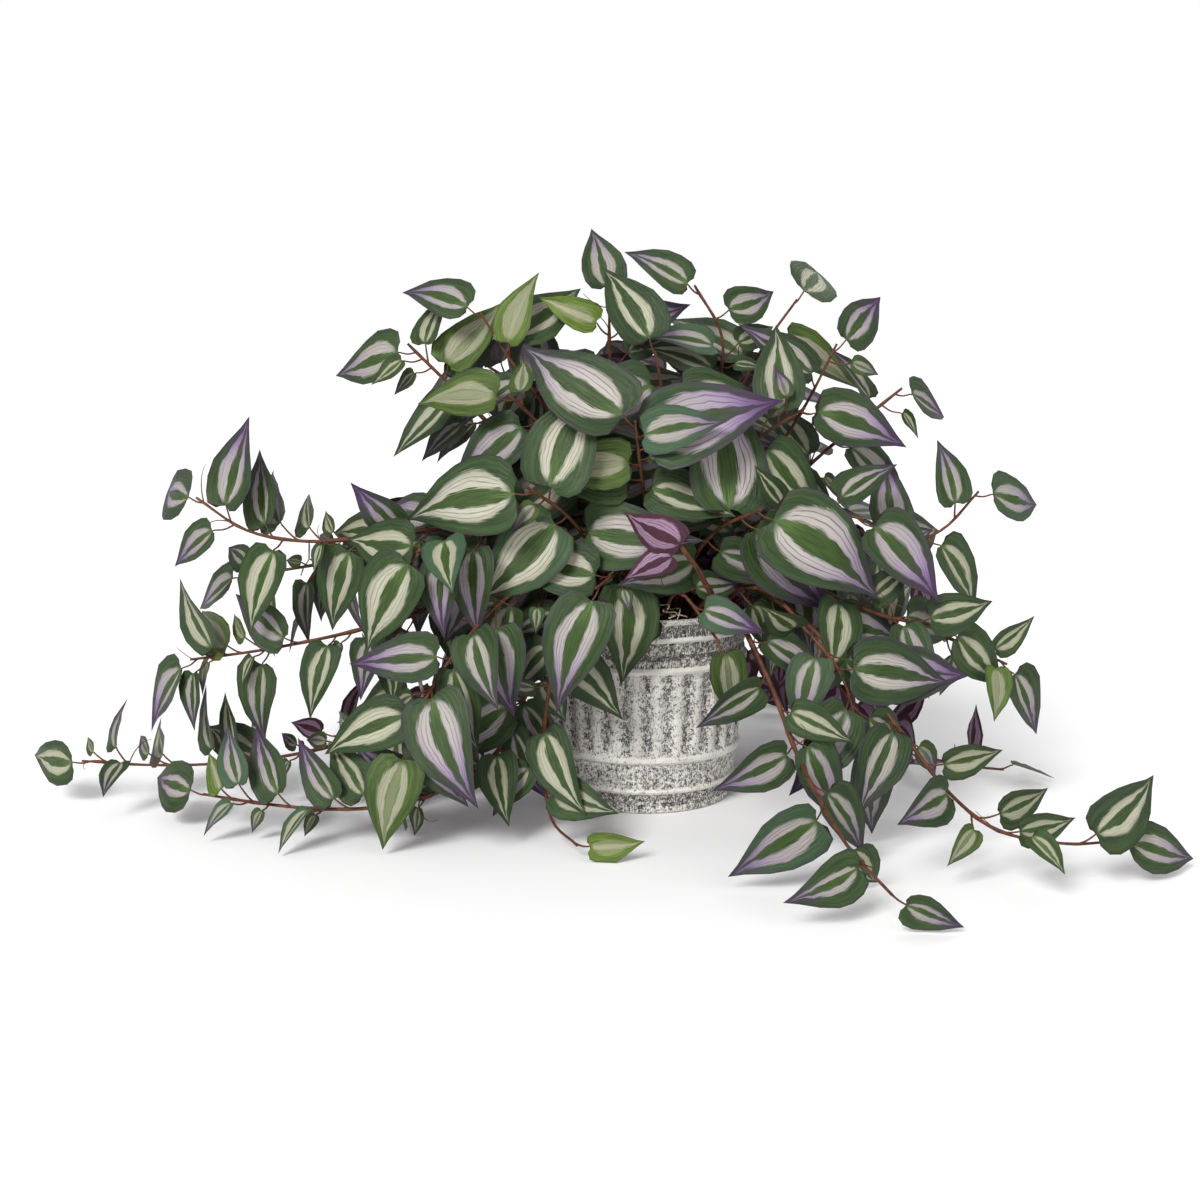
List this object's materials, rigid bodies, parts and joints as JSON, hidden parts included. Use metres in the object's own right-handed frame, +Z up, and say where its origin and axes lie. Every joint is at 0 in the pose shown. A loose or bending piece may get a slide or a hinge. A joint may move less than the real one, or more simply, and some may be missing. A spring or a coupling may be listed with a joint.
{
  "type": "potted trailing tradescantia house plant in a fluted metal planter",
  "caption": "Full, domed house plant with striped heart-shaped leaves on stems that rise, spread and trail from a round fluted planter.",
  "frame": {"origin": "centre of the pot's flat underside", "axes": "+Z up along the pot's axis, -Y towards the front of the plant, +X to its right"},
  "size_m": [0.6749, 0.4902, 0.3462],
  "materials": {
    "pot_metal": "distressed whitewash over dark zinc",
    "soil": "dark, crumbly and matt",
    "leaf": "satin, green with silver and purple bands"
  },
  "bodies": {
    "root": {"pot": "pot_metal", "potting_fill": "soil", "crown_stem_front_left": "leaf", "crown_stem_front_middle": "leaf", "crown_stem_front_right": "leaf", "crown_stem_front_low": "leaf", "crown_stem_left_shoulder": "leaf", "crown_stem_right_shoulder": "leaf", "crown_stem_upper_front": "leaf", "crown_stem_upper_left": "leaf", "crown_stem_upper_right": "leaf", "upright_stem_left": "leaf", "upright_stem_left_inner": "leaf", "upright_stem_top": "leaf", "upright_stem_top_right": "leaf", "upright_stem_right_inner": "leaf", "upright_stem_right": "leaf", "upright_stem_right_outer": "leaf", "spreading_stem_left_high": "leaf", "spreading_stem_left_middle": "leaf", "spreading_stem_left_low": "leaf", "spreading_stem_left_drape": "leaf", "spreading_stem_right_high": "leaf", "spreading_stem_right_middle": "leaf", "spreading_stem_right_low": "leaf", "spreading_stem_right_drape": "leaf", "spreading_stem_front_short": "leaf", "trailing_stem_left_long": "leaf", "trailing_stem_left_front": "leaf", "trailing_stem_front_left": "leaf", "trailing_stem_right_front": "leaf", "trailing_stem_right_long": "leaf", "upright_stem_back_1": "leaf", "upright_stem_back_2": "leaf", "upright_stem_back_3": "leaf", "upright_stem_back_4": "leaf", "upright_stem_back_5": "leaf", "spreading_stem_back_1": "leaf", "spreading_stem_back_2": "leaf", "spreading_stem_back_3": "leaf", "spreading_stem_back_4": "leaf", "spreading_stem_back_5": "leaf", "spreading_stem_back_6": "leaf", "spreading_stem_back_7": "leaf", "trailing_stem_back_1": "leaf", "trailing_stem_back_2": "leaf", "trailing_stem_back_3": "leaf", "trailing_stem_back_4": "leaf", "trailing_stem_back_5": "leaf"}
  },
  "joints": []
}
